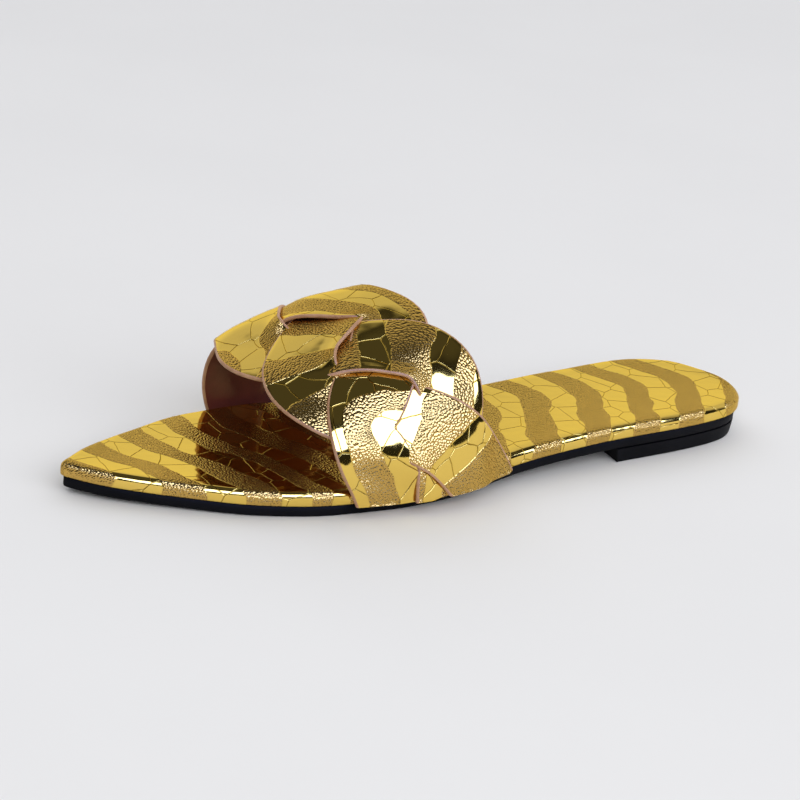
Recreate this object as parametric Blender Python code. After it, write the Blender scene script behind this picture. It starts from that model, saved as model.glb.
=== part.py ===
"""A braided flat slide, the left shoe of a pair.

Metres, +Z up. The toe points along +X and the outer side of the foot is towards +Y.
The origin is the middle of the heel's tread, on the floor.
"""

from collections import namedtuple

import bmesh
import bpy
import numpy as np
from mathutils import Vector

MM = 0.001

# The sole: lengths and widths
LENGTH = 270 * MM
BALL_WIDTH = 80 * MM
HEEL_WIDTH = 55.5 * MM
HEEL_CENTRE = 28 * MM
HEEL_BLOCK_LENGTH = 65 * MM

# The sole: heights and thicknesses
HEEL_BLOCK_HEIGHT = 6.0 * MM
TOE_SPRING = 1.9 * MM
OUTSOLE_THICKNESS = 4.4 * MM
FOOTBED_THICKNESS = 5.2 * MM
FOOTBED_DISH = 0.8 * MM
OUTSOLE_INSET = 1.2 * MM
TREAD_CHAMFER = 0.7 * MM
FOOTBED_ROUNDING = 2.3 * MM
BREAST_LEAN = 1.5 * MM

# The braid
INSTEP_OPENING = 49 * MM
INSTEP_FULLNESS = 2.5
STRIP_WIDTH = 25 * MM
STRIP_THICKNESS = 1.6 * MM
STRIP_SLACK = 0.3 * MM
STRIP_CROWN = 0.5 * MM
BONDING_DEPTH = 0.8 * MM
LIFT_RAMP = 7 * MM
STRIP_TAIL = 6 * MM
BUNCHING = 0.7

# Pieces that meet keep this much air between them
GAP = 0.3 * MM

# How finely the shapes are divided
SOLE_STATIONS = 36
HEEL_STATIONS = 13
ROUNDING_STEPS = 4
STRIP_STEP = 4.2 * MM
STRIP_LANES = 7
SECTION_STEPS = 60

# The outline, from heel end to toe tip. Each half width is a share of the width that the row follows.
OutlineRow = namedtuple("OutlineRow", "along inner outer follows")
OUTLINE = [
    OutlineRow(0.000, 0.020, -0.020, HEEL_WIDTH),
    OutlineRow(0.015, 0.247, 0.234, HEEL_WIDTH),
    OutlineRow(0.050, 0.459, 0.360, HEEL_WIDTH),
    OutlineRow(0.120, 0.550, 0.445, HEEL_WIDTH),
    OutlineRow(0.250, 0.468, 0.523, HEEL_WIDTH),
    OutlineRow(0.400, 0.273, 0.440, BALL_WIDTH),
    OutlineRow(0.550, 0.355, 0.545, BALL_WIDTH),
    OutlineRow(0.680, 0.465, 0.535, BALL_WIDTH),
    OutlineRow(0.780, 0.424, 0.460, BALL_WIDTH),
    OutlineRow(0.880, 0.284, 0.299, BALL_WIDTH),
    OutlineRow(0.950, 0.161, 0.158, BALL_WIDTH),
    OutlineRow(0.990, 0.055, 0.040, BALL_WIDTH),
    OutlineRow(1.000, 0.014, -0.014, BALL_WIDTH),
]

# The underside of the outsole: shares of the heel block's height and of the toe spring.
ProfileRow = namedtuple("ProfileRow", "along heel toe")
PROFILE = [
    ProfileRow(0.00, 1.00, 0.00),
    ProfileRow(0.24, 1.00, 0.00),
    ProfileRow(0.36, 0.84, 0.00),
    ProfileRow(0.46, 0.50, 0.00),
    ProfileRow(0.55, 0.16, 0.00),
    ProfileRow(0.61, 0.00, 0.00),
    ProfileRow(0.73, 0.00, 0.00),
    ProfileRow(0.85, 0.00, 0.36),
    ProfileRow(1.00, 0.00, 1.00),
]

# The lining's highest line over the instep: its height is a share of INSTEP_OPENING over the footbed, and
# its place across is a share of BALL_WIDTH, towards the inner side.
RidgeRow = namedtuple("RidgeRow", "along height inward")
RIDGE = [
    RidgeRow(0.350, 1.095, 0.100),
    RidgeRow(0.440, 1.055, 0.110),
    RidgeRow(0.530, 0.985, 0.160),
    RidgeRow(0.630, 0.857, 0.235),
    RidgeRow(0.720, 0.635, 0.300),
    RidgeRow(0.790, 0.505, 0.300),
    RidgeRow(0.880, 0.430, 0.300),
]

# The three strips of the braid. Each row is a point of a strip's centre line: its share of LENGTH, and its
# share of the way over the instep, from the sole's outer edge (0) to its inner edge (1). A strip turns at the
# braid's front and back edges. The turns are numbered in order over the instep, each strip makes every third
# one, and a row between turns has no number.
StripRow = namedtuple("StripRow", "turn along over")
BETWEEN = None
STRIPS = {
    "rear": [
        StripRow(0, 0.470, -0.040),
        StripRow(BETWEEN, 0.500, 0.050),
        StripRow(BETWEEN, 0.550, 0.145),
        StripRow(BETWEEN, 0.611, 0.200),
        StripRow(BETWEEN, 0.672, 0.247),
        StripRow(3, 0.702, 0.345),
        StripRow(BETWEEN, 0.681, 0.460),
        StripRow(BETWEEN, 0.638, 0.525),
        StripRow(BETWEEN, 0.595, 0.640),
        StripRow(6, 0.580, 0.800),
        StripRow(BETWEEN, 0.583, 0.900),
        StripRow(9, 0.596, 1.040),
    ],
    "front": [
        StripRow(-2, 0.607, -0.040),
        StripRow(BETWEEN, 0.637, 0.080),
        StripRow(1, 0.655, 0.175),
        StripRow(BETWEEN, 0.622, 0.300),
        StripRow(BETWEEN, 0.585, 0.390),
        StripRow(4, 0.567, 0.500),
        StripRow(BETWEEN, 0.600, 0.587),
        StripRow(BETWEEN, 0.642, 0.657),
        StripRow(BETWEEN, 0.690, 0.740),
        StripRow(7, 0.709, 0.830),
        StripRow(BETWEEN, 0.700, 0.930),
        StripRow(10, 0.680, 1.040),
    ],
    "middle": [
        StripRow(-1, 0.532, -0.040),
        StripRow(BETWEEN, 0.526, 0.110),
        StripRow(2, 0.532, 0.240),
        StripRow(BETWEEN, 0.552, 0.337),
        StripRow(BETWEEN, 0.610, 0.390),
        StripRow(BETWEEN, 0.680, 0.430),
        StripRow(5, 0.722, 0.558),
        StripRow(BETWEEN, 0.711, 0.680),
        StripRow(BETWEEN, 0.670, 0.773),
        StripRow(BETWEEN, 0.622, 0.847),
        StripRow(BETWEEN, 0.567, 0.955),
        StripRow(8, 0.524, 1.040),
    ],
}


def smooth_curve(knots, values):
    """A cubic curve through the rows that never swings past them, as a function of the knot."""
    knots = np.asarray(knots, float)
    values = np.asarray(values, float)
    step = np.diff(knots)
    slope = np.diff(values) / step
    tangent = np.concatenate([slope[:1], np.zeros(len(knots) - 2), slope[-1:]])
    for k in range(1, len(knots) - 1):
        if slope[k - 1] * slope[k] > 0:
            before, after = 2 * step[k] + step[k - 1], step[k] + 2 * step[k - 1]
            tangent[k] = (before + after) / (before / slope[k - 1] + after / slope[k])

    def at(knot):
        knot = np.clip(knot, knots[0], knots[-1])
        k = np.clip(np.searchsorted(knots, knot) - 1, 0, len(step) - 1)
        t = (knot - knots[k]) / step[k]
        return (
            values[k] * (1 + 2 * t) * (1 - t) ** 2
            + tangent[k] * step[k] * t * (1 - t) ** 2
            + values[k + 1] * (3 - 2 * t) * t**2
            + tangent[k + 1] * step[k] * (t - 1) * t**2
        )

    return at


def even_turn(along):
    """The share of a half turn at which a circle's shadow has gone this share of its way."""
    return np.arccos(1 - 2 * np.clip(along, 0, 1)) / np.pi


# Near its ends an outline is round, so its half widths are drawn over the half turn and not over the length.
_turns = [even_turn(row.along) for row in OUTLINE]
inner_half = smooth_curve(_turns, [row.inner * row.follows for row in OUTLINE])
outer_half = smooth_curve(_turns, [row.outer * row.follows for row in OUTLINE])
heel_share = smooth_curve([row.along for row in PROFILE], [row.heel for row in PROFILE])
toe_share = smooth_curve([row.along for row in PROFILE], [row.toe for row in PROFILE])
ridge_height = smooth_curve([row.along for row in RIDGE], [row.height for row in RIDGE])
ridge_inward = smooth_curve([row.along for row in RIDGE], [row.inward for row in RIDGE])


def x_of(along):
    return along * LENGTH - HEEL_CENTRE


def along_of(x):
    return (x + HEEL_CENTRE) / LENGTH


def outsole_underside(along):
    return HEEL_BLOCK_HEIGHT * heel_share(along) + TOE_SPRING * toe_share(along)


def footbed_underside(along):
    return outsole_underside(along) + OUTSOLE_THICKNESS


def outline_point(turn, inset=0.0):
    """A point of the sole's outline in plan. turn runs from 0, heel end, to 1, toe tip, on the outer side,
    and from 1 to 2 back along the inner side."""

    def on_edge(t):
        half = 1 - abs(1 - t % 2)
        along = (1 - np.cos(np.pi * half)) / 2
        side = outer_half(half) if t % 2 <= 1 else -inner_half(half)
        return Vector((x_of(along), float(side)))

    nudge = 0.004
    ahead = (on_edge(turn + nudge) - on_edge(turn - nudge)).normalized()
    return on_edge(turn) + float(inset) * Vector((ahead.y, -ahead.x))


def rim(turns, inset, height):
    """A ring of points round the sole. height gives the ring's height at each share of the length."""
    ring = []
    for turn in turns:
        place = outline_point(turn, inset)
        ring.append(Vector((place.x, place.y, float(height(along_of(place.x))))))
    return ring


def skin(bm, rings):
    """Joins each ring of points to the next with quads."""
    made = [[bm.verts.new(place) for place in ring] for ring in rings]
    for low, high in zip(made, made[1:]):
        for k in range(len(low)):
            bm.faces.new((low[k - 1], low[k], high[k], high[k - 1]))
    return made


def ladder(bm, ring, sag=0.0):
    """Closes a sole's ring with a row of faces on each side of a middle line that sags by that much."""
    rungs = len(ring) // 2
    outer = ring[: rungs + 1]
    inner = [ring[0]] + ring[: rungs - 1 : -1]
    middle = [ring[0]]
    for k in range(1, rungs):
        place = (outer[k].co + inner[k].co) / 2
        width = (outer[k].co - inner[k].co).length
        middle.append(bm.verts.new(place - Vector((0, 0, sag * min(1, width / HEEL_WIDTH)))))
    middle.append(ring[rungs])
    for k in range(rungs):
        for left, right in ((outer, middle), (middle, inner)):
            corners = dict.fromkeys((left[k], left[k + 1], right[k + 1], right[k]))
            bm.faces.new(tuple(corners))


def finish(bm, name, material, shown=True):
    """Makes the mesh an object of the shoe, or of the helpers that shape it."""
    bmesh.ops.recalc_face_normals(bm, faces=bm.faces)
    mesh = bpy.data.meshes.new(name)
    bm.to_mesh(mesh)
    bm.free()
    mesh.shade_smooth()
    mesh.set_sharp_from_angle(angle=np.radians(38))
    mesh.materials.append(material)
    obj = bpy.data.objects.new(name, mesh)
    obj.hide_render = not shown
    obj.display_type = "SOLID" if shown else "WIRE"
    bpy.data.collections["braided_slide" if shown else "helpers"].objects.link(obj)
    return obj


def material(name, colour, metallic, roughness):
    made = bpy.data.materials.new(name)
    made.use_nodes = True
    made.diffuse_color = (*colour, 1)
    shader = made.node_tree.nodes["Principled BSDF"]
    shader.inputs["Base Color"].default_value = (*colour, 1)
    shader.inputs["Metallic"].default_value = metallic
    shader.inputs["Roughness"].default_value = roughness
    return made


def make_outsole(rubber):
    turns = np.linspace(0, 2, 2 * SOLE_STATIONS, endpoint=False)
    bm = bmesh.new()
    rings = skin(
        bm,
        [
            rim(turns, OUTSOLE_INSET + TREAD_CHAMFER, outsole_underside),
            rim(turns, OUTSOLE_INSET, lambda s: outsole_underside(s) + TREAD_CHAMFER),
            rim(turns, OUTSOLE_INSET, lambda s: footbed_underside(s) - GAP),
        ],
    )
    ladder(bm, rings[0])
    ladder(bm, rings[-1])
    return finish(bm, "outsole", rubber)


def make_heel_block(rubber):
    """The stacked heel. Its front face, the breast, leans back a little towards the floor."""
    last = float(even_turn(HEEL_BLOCK_LENGTH / LENGTH))
    outer = list(np.linspace(0, last, HEEL_STATIONS))
    turns = outer + [2 - turn for turn in outer[:0:-1]]
    top = HEEL_BLOCK_HEIGHT - GAP
    bm = bmesh.new()
    rings = skin(
        bm,
        [
            rim(turns, OUTSOLE_INSET + 2 * TREAD_CHAMFER, lambda s: 0.0),
            rim(turns, OUTSOLE_INSET + TREAD_CHAMFER, lambda s: TREAD_CHAMFER),
            rim(turns, OUTSOLE_INSET, lambda s: top),
        ],
    )
    for ring, share in zip(rings, (1, 1 - TREAD_CHAMFER / top, 0)):
        for corner in ring[HEEL_STATIONS - 1 : HEEL_STATIONS + 1]:
            corner.co.x = x_of(HEEL_BLOCK_LENGTH / LENGTH) - share * BREAST_LEAN
    bm.faces.new(rings[0])
    bm.faces.new(rings[-1])
    return finish(bm, "heel_block", rubber)


def make_footbed(foil):
    """The wrapped insole board: a rounded upper edge all round, and a slight dish along its middle."""
    turns = np.linspace(0, 2, 2 * SOLE_STATIONS, endpoint=False)
    levels = [(TREAD_CHAMFER / 2, 0.0), (0.0, TREAD_CHAMFER)]
    for step in range(ROUNDING_STEPS):
        angle = np.pi / 2 * step / (ROUNDING_STEPS - 1)
        inset = FOOTBED_ROUNDING * (1 - np.cos(angle))
        levels.append((inset, FOOTBED_THICKNESS - FOOTBED_ROUNDING * (1 - np.sin(angle))))
    bm = bmesh.new()
    rings = skin(
        bm,
        [rim(turns, inset, lambda s, rise=rise: footbed_underside(s) + rise) for inset, rise in levels],
    )
    ladder(bm, rings[0])
    ladder(bm, rings[-1], FOOTBED_DISH)
    return finish(bm, "footbed", foil)


def instep_section(along):
    """The lining's line across the shoe at one share of the length, from below the outer sole edge, up the
    footbed's side, over the instep and down. Returns each point's run along the line, counted from the
    footbed's underside, the point's place across and its height, and the whole run between the sole edges."""
    half = even_turn(along)
    low = footbed_underside(along)
    spring = low + FOOTBED_THICKNESS
    rise = ridge_height(along) * INSTEP_OPENING
    ridge = -ridge_inward(along) * BALL_WIDTH
    outer = outer_half(half) + GAP
    inner = -inner_half(half) - GAP
    angle = np.linspace(0, np.pi, SECTION_STEPS)
    sideways = np.sign(np.cos(angle)) * abs(np.cos(angle)) ** (2 / INSTEP_FULLNESS)
    upwards = np.maximum(np.sin(angle), 0) ** (2 / INSTEP_FULLNESS)
    reach = np.where(sideways > 0, outer - ridge, ridge - inner)
    across = np.concatenate([[outer, outer], ridge + reach * sideways, [inner, inner]])
    height = np.concatenate([[low - STRIP_TAIL, low], spring + rise * upwards, [low, low - STRIP_TAIL]])
    run = np.concatenate([[0], np.cumsum(np.hypot(np.diff(across), np.diff(height)))]) - STRIP_TAIL
    return run, across, height, run[-1] - STRIP_TAIL


def on_lining(along, over):
    """The point of the lining at this share of the length and of the way over the instep."""
    run, across, height, whole = instep_section(along)
    at = over * whole
    return Vector((x_of(along), np.interp(at, run, across), np.interp(at, run, height)))


def lining_normal(along, over):
    nudge_along, nudge_over = 0.004, 0.01
    forward = on_lining(along + nudge_along, over) - on_lining(along - nudge_along, over)
    inward = on_lining(along, over + nudge_over) - on_lining(along, over - nudge_over)
    return inward.cross(forward).normalized()


MIDDLE_RUN = instep_section(0.63)[3]


def strip_line(rows):
    """A strip's centre line laid flat, in metres: evenly stepped places, and the turn each one comes after."""
    flat = np.array([(row.along * LENGTH, row.over * MIDDLE_RUN) for row in rows])
    knots = np.concatenate([[0], np.cumsum(np.linalg.norm(np.diff(flat, axis=0), axis=1))])
    tangent = np.gradient(flat, knots, axis=0)
    fine = np.linspace(0, knots[-1], 8 * int(knots[-1] / STRIP_STEP))
    k = np.clip(np.searchsorted(knots, fine) - 1, 0, len(rows) - 2)
    span = np.diff(knots)[k][:, None]
    t = ((fine - knots[k]) / span[:, 0])[:, None]
    places = (
        flat[k] * (1 + 2 * t) * (1 - t) ** 2
        + tangent[k] * span * t * (1 - t) ** 2
        + flat[k + 1] * (3 - 2 * t) * t**2
        + tangent[k + 1] * span * (t - 1) * t**2
    )
    turn, turns = rows[0].turn, []
    for row in rows:
        turn = turn if row.turn is BETWEEN else row.turn
        turns.append(turn)
    run = np.concatenate([[0], np.cumsum(np.linalg.norm(np.diff(places, axis=0), axis=1))])
    even = np.linspace(0, run[-1], int(run[-1] / STRIP_STEP))
    places = np.column_stack([np.interp(even, run, places[:, side]) for side in (0, 1)])
    return places, np.asarray(turns)[k][np.searchsorted(run, even).clip(0, len(k) - 1)]


LINES = {name: strip_line(rows) for name, rows in STRIPS.items()}


def line_after(turn):
    """The stretch of a centre line that follows this turn, or None where no strip makes it."""
    for places, turns in LINES.values():
        if (turns == turn).any():
            return places[turns == turn]
    return None


def covers(flat, turn):
    """1 where this stretch lies under the place, 0 well clear of it, with a ramp between."""
    beneath = line_after(turn)
    if beneath is None:
        return 0.0
    away = np.linalg.norm(beneath - flat, axis=1).min() - STRIP_WIDTH / 2
    share = np.clip(1 - away / LIFT_RAMP, 0, 1)
    return share * share * (3 - 2 * share)


def layers_under(flat, turn):
    """How many strips a place of this stretch rides on. A stretch lies over the one that follows the turn
    before it, and that one over its own. A loop also lies over what its strip crosses on either side."""
    under = covers(flat, turn - 1) * (1 + covers(flat, turn - 2))
    return max(under, covers(flat, turn + 2), covers(flat, turn - 4))


def bend(places, k):
    """The centre line's curvature at a step, positive where the strip turns towards its first lane."""
    first, last = max(k - 2, 0), min(k + 2, len(places) - 1)
    before, after = places[k] - places[first], places[last] - places[k]
    if min(np.linalg.norm(before), np.linalg.norm(after)) == 0:
        return 0.0
    turned = np.cross(before, after) / np.linalg.norm(before) / np.linalg.norm(after)
    return 2 * np.arcsin(np.clip(turned, -1, 1)) / (np.linalg.norm(before) + np.linalg.norm(after))


def strip_ring(places, turn, k):
    """The closed section of a strip at one step of its centre line: underside, then face. At a turn the
    strip's inner edge bunches up at the centre of the bend, and never passes it."""
    ahead = places[min(k + 1, len(places) - 1)] - places[max(k - 1, 0)]
    ahead = ahead / np.linalg.norm(ahead)
    aside = np.array([ahead[1], -ahead[0]])
    curve = bend(places, k)
    room = BUNCHING / max(abs(curve), BUNCHING / STRIP_WIDTH)
    under, face = [], []
    for lane in np.linspace(-1, 1, STRIP_LANES):
        reach = lane * STRIP_WIDTH / 2
        if reach * curve < 0:
            reach = np.sign(lane) * min(abs(reach), room * abs(lane))
        flat = places[k] + aside * reach
        along, over = flat[0] / LENGTH, flat[1] / MIDDLE_RUN
        normal = lining_normal(along, over)
        layers = layers_under(flat, turn)
        raised = layers * (STRIP_THICKNESS + STRIP_SLACK)
        bonded = BONDING_DEPTH * min(layers, 1)
        base = on_lining(along, over)
        crown = STRIP_CROWN * (1 - lane * lane)
        under.append(base + normal * (raised - bonded))
        face.append(base + normal * (raised + STRIP_THICKNESS + crown))
    return under + face[::-1]


def make_strip(name, foil):
    places, turns = LINES[name]
    bm = bmesh.new()
    rings = skin(bm, [strip_ring(places, turns[k], k) for k in range(len(places))])
    bm.faces.new(rings[0])
    bm.faces.new(rings[-1])
    return finish(bm, f"{name}_strip", foil, shown=False)


def make_trimmer(rubber):
    """What lies below the footbed, wide enough to cut the strips' tails off level with the sole."""
    turns = np.linspace(0, 2, 2 * SOLE_STATIONS, endpoint=False)
    spare = -4 * STRIP_TAIL
    bm = bmesh.new()
    rings = skin(
        bm,
        [
            rim(turns, spare, lambda s: -4 * STRIP_TAIL),
            rim(turns, spare, lambda s: footbed_underside(s)),
        ],
    )
    ladder(bm, rings[0])
    ladder(bm, rings[-1])
    return finish(bm, "trimmer", rubber, shown=False)


def make_upper(foil, rubber):
    """The braid: its three strips joined where they cross, and trimmed at the sole's edge."""
    names = list(STRIPS)
    upper = make_strip(names[0], foil)
    upper.name = "upper"
    bpy.data.collections["helpers"].objects.unlink(upper)
    bpy.data.collections["braided_slide"].objects.link(upper)
    upper.hide_render = False
    upper.display_type = "SOLID"
    tools = [(make_strip(name, foil), "UNION") for name in names[1:]]
    tools.append((make_trimmer(rubber), "DIFFERENCE"))
    for tool, operation in tools:
        cut = upper.modifiers.new(tool.name, "BOOLEAN")
        cut.object = tool
        cut.operation = operation
        cut.solver = "EXACT"
        cut.use_self = True
    return upper


def main():
    for obj in list(bpy.data.objects):
        bpy.data.objects.remove(obj, do_unlink=True)
    for name in ("braided_slide", "helpers"):
        bpy.context.scene.collection.children.link(bpy.data.collections.new(name))
    foil = material("gold_foil_leather", (0.72, 0.50, 0.14), 1.0, 0.28)
    rubber = material("black_rubber", (0.012, 0.012, 0.013), 0.0, 0.55)
    make_outsole(rubber)
    make_heel_block(rubber)
    make_footbed(foil)
    make_upper(foil, rubber)


main()
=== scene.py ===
# %% [markdown]
# # A braided flat slide in gold foil leather
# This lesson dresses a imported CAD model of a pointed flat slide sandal, the left shoe of a pair.
# The CAD gives the size and place of every part. Here each part is modelled again more finely, gets its
# creases, edges and materials, and is lit as in a small photo studio.
# Everything is in metres. The toe points along +X, the outer side of the foot is +Y and the floor is Z = 0.

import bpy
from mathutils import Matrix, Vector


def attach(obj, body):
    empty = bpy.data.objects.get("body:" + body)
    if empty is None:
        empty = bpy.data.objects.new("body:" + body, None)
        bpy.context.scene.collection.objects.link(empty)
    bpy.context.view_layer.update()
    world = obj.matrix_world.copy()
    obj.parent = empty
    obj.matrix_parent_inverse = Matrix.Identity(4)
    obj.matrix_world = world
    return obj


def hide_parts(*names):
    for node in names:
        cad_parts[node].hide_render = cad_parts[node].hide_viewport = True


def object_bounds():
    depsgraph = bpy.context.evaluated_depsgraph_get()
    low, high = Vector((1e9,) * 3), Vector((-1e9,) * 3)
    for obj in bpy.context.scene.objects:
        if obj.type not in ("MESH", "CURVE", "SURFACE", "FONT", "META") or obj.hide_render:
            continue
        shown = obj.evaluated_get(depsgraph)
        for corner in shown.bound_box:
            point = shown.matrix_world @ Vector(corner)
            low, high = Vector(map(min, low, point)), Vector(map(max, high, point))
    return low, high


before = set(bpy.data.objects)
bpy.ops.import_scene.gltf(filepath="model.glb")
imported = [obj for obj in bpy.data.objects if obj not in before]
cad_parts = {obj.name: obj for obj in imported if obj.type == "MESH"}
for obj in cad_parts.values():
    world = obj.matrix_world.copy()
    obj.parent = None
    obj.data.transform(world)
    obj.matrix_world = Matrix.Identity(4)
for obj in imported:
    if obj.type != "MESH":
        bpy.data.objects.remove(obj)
CAD_BOX = [list(corner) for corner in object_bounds()]
print("parts in the CAD model:", ", ".join(sorted(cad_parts)))

# %% Tools of the lesson
from collections import namedtuple

import bpy
import numpy as np
from mathutils import Quaternion, Vector

MM = 0.001
bpy.ops.object.select_all(action="DESELECT")

# %% [markdown]
# ## The camera
# The photo was taken from the outer side of the shoe, a little in front of it, and looks about 22 degrees
# down. A short distance with a long lens gives its mild perspective. The camera is placed first. It is rolled
# by six degrees, as the photo's was once it is turned to look at one shoe of the pair.

# %% Place the camera
CAMERA_PLACE = Vector((0.5737, 0.8304, 0.4154))
CAMERA_LOOK = Vector((-0.44722, -0.80817, -0.38321))
CAMERA_ROLL = 6.1
CAMERA_LENS = 129

camera_data = bpy.data.cameras.new("camera")
camera_data.lens = CAMERA_LENS
camera = bpy.data.objects.new("camera", camera_data)
bpy.context.scene.collection.objects.link(camera)
camera.location = CAMERA_PLACE
camera.rotation_mode = "QUATERNION"
upright = CAMERA_LOOK.to_track_quat("-Z", "Y")
camera.rotation_quaternion = upright @ Quaternion((0, 0, 1), np.radians(CAMERA_ROLL))
bpy.context.scene.camera = camera
bpy.context.scene.view_settings.view_transform = "Standard"
print("camera is", round(CAMERA_PLACE.length, 3), "m from the heel")

# %% [markdown]
# ## The shapes that all parts share
# A shoe is drawn on a last, so its parts share one outline and one profile. Both are short tables of named
# rows, joined by a smooth curve. The same tables shape the CAD model, so that what is modelled here lands
# where the CAD has it.

# %% Sizes of the sole
LENGTH = 270 * MM
BALL_WIDTH = 80 * MM
HEEL_WIDTH = 55.5 * MM
HEEL_CENTRE = 28 * MM
HEEL_BLOCK_LENGTH = 65 * MM
HEEL_BLOCK_HEIGHT = 6.0 * MM
TOE_SPRING = 1.9 * MM
OUTSOLE_THICKNESS = 4.4 * MM
FOOTBED_THICKNESS = 5.2 * MM
FOOTBED_DISH = 0.8 * MM
OUTSOLE_INSET = 1.2 * MM
TREAD_CHAMFER = 0.7 * MM
FOOTBED_ROUNDING = 2.3 * MM
BREAST_LEAN = 1.5 * MM
GAP = 0.3 * MM

# %% A smooth curve through the rows of a table


def cubic(start, end, leaving, arriving, t):
    """The cubic curve from start to end, with these slopes at its ends, where t runs from 0 to 1."""
    return (
        start * (1 + 2 * t) * (1 - t) ** 2
        + leaving * t * (1 - t) ** 2
        + end * (3 - 2 * t) * t**2
        + arriving * (t - 1) * t**2
    )


def smooth_curve(knots, values):
    """A cubic curve through the rows that never swings past them, as a function of the knot."""
    knots = np.asarray(knots, float)
    values = np.asarray(values, float)
    step = np.diff(knots)
    slope = np.diff(values) / step
    tangent = np.concatenate([slope[:1], np.zeros(len(knots) - 2), slope[-1:]])
    for k in range(1, len(knots) - 1):
        if slope[k - 1] * slope[k] > 0:
            before = 2 * step[k] + step[k - 1]
            after = step[k] + 2 * step[k - 1]
            tangent[k] = (before + after) / (before / slope[k - 1] + after / slope[k])

    def at(knot):
        knot = np.clip(knot, knots[0], knots[-1])
        k = np.clip(np.searchsorted(knots, knot) - 1, 0, len(step) - 1)
        t = (knot - knots[k]) / step[k]
        return cubic(values[k], values[k + 1], tangent[k] * step[k], tangent[k + 1] * step[k], t)

    return at


# %% The outline, seen from above
# Each row is a share of the length, and the half widths there as shares of the heel's or the ball's width.
OutlineRow = namedtuple("OutlineRow", "along inner outer follows")
OUTLINE = [
    OutlineRow(0.000, 0.020, -0.020, HEEL_WIDTH),
    OutlineRow(0.015, 0.247, 0.234, HEEL_WIDTH),
    OutlineRow(0.050, 0.459, 0.360, HEEL_WIDTH),
    OutlineRow(0.120, 0.550, 0.445, HEEL_WIDTH),
    OutlineRow(0.250, 0.468, 0.523, HEEL_WIDTH),
    OutlineRow(0.400, 0.273, 0.440, BALL_WIDTH),
    OutlineRow(0.550, 0.355, 0.545, BALL_WIDTH),
    OutlineRow(0.680, 0.465, 0.535, BALL_WIDTH),
    OutlineRow(0.780, 0.424, 0.460, BALL_WIDTH),
    OutlineRow(0.880, 0.284, 0.299, BALL_WIDTH),
    OutlineRow(0.950, 0.161, 0.158, BALL_WIDTH),
    OutlineRow(0.990, 0.055, 0.040, BALL_WIDTH),
    OutlineRow(1.000, 0.014, -0.014, BALL_WIDTH),
]


def even_turn(along):
    """The share of a half turn at which a circle's shadow has gone this share of its way."""
    return np.arccos(1 - 2 * np.clip(along, 0, 1)) / np.pi


turns_of_rows = [even_turn(row.along) for row in OUTLINE]
inner_half = smooth_curve(turns_of_rows, [row.inner * row.follows for row in OUTLINE])
outer_half = smooth_curve(turns_of_rows, [row.outer * row.follows for row in OUTLINE])
print("widest ball:", round(1000 * float(outer_half(0.6) + inner_half(0.6)), 1), "mm")

# %% The profile, seen from the side
# The underside of the outsole, as shares of the heel's height and of the toe spring.
ProfileRow = namedtuple("ProfileRow", "along heel toe")
PROFILE = [
    ProfileRow(0.00, 1.00, 0.00),
    ProfileRow(0.24, 1.00, 0.00),
    ProfileRow(0.36, 0.84, 0.00),
    ProfileRow(0.46, 0.50, 0.00),
    ProfileRow(0.55, 0.16, 0.00),
    ProfileRow(0.61, 0.00, 0.00),
    ProfileRow(0.73, 0.00, 0.00),
    ProfileRow(0.85, 0.00, 0.36),
    ProfileRow(1.00, 0.00, 1.00),
]
heel_share = smooth_curve([row.along for row in PROFILE], [row.heel for row in PROFILE])
toe_share = smooth_curve([row.along for row in PROFILE], [row.toe for row in PROFILE])


def x_of(along):
    return along * LENGTH - HEEL_CENTRE


def along_of(x):
    return (x + HEEL_CENTRE) / LENGTH


def outsole_underside(along):
    return HEEL_BLOCK_HEIGHT * heel_share(along) + TOE_SPRING * toe_share(along)


def footbed_underside(along):
    return outsole_underside(along) + OUTSOLE_THICKNESS


print("heel seat is", round(1000 * float(footbed_underside(0.1) + FOOTBED_THICKNESS), 1), "mm high")

# %% A point on the outline


def outline_point(turn, inset=0.0):
    """turn runs from 0, heel end, to 1, toe tip, on the outer side, and from 1 to 2 back on the inner."""

    def on_edge(t):
        half = 1 - abs(1 - t % 2)
        along = (1 - np.cos(np.pi * half)) / 2
        side = outer_half(half) if t % 2 <= 1 else -inner_half(half)
        return Vector((x_of(along), float(side)))

    nudge = 0.004
    ahead = (on_edge(turn + nudge) - on_edge(turn - nudge)).normalized()
    return on_edge(turn) + float(inset) * Vector((ahead.y, -ahead.x))


# %% [markdown]
# ## How a sole part is modelled
# A sole part is a flat leaf with the shoe's outline, a few millimetres thick. By hand one would lay a grid
# on the outline, select its open edge and extrude that edge ring by ring, down the side of the part. The
# next cells do the same: the grid's rows of points run across the shoe between the two sides of the
# outline, and an attribute keeps each rim point's turn, so that every extruded ring finds its place.

# %% Lay a grid on the outline
SOLE_STATIONS = 72
SOLE_LANES = 16
SOLE_MERGE = 0.02 * MM


def activate(piece):
    bpy.ops.object.select_all(action="DESELECT")
    piece.select_set(True)
    bpy.context.view_layer.objects.active = piece


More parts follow.
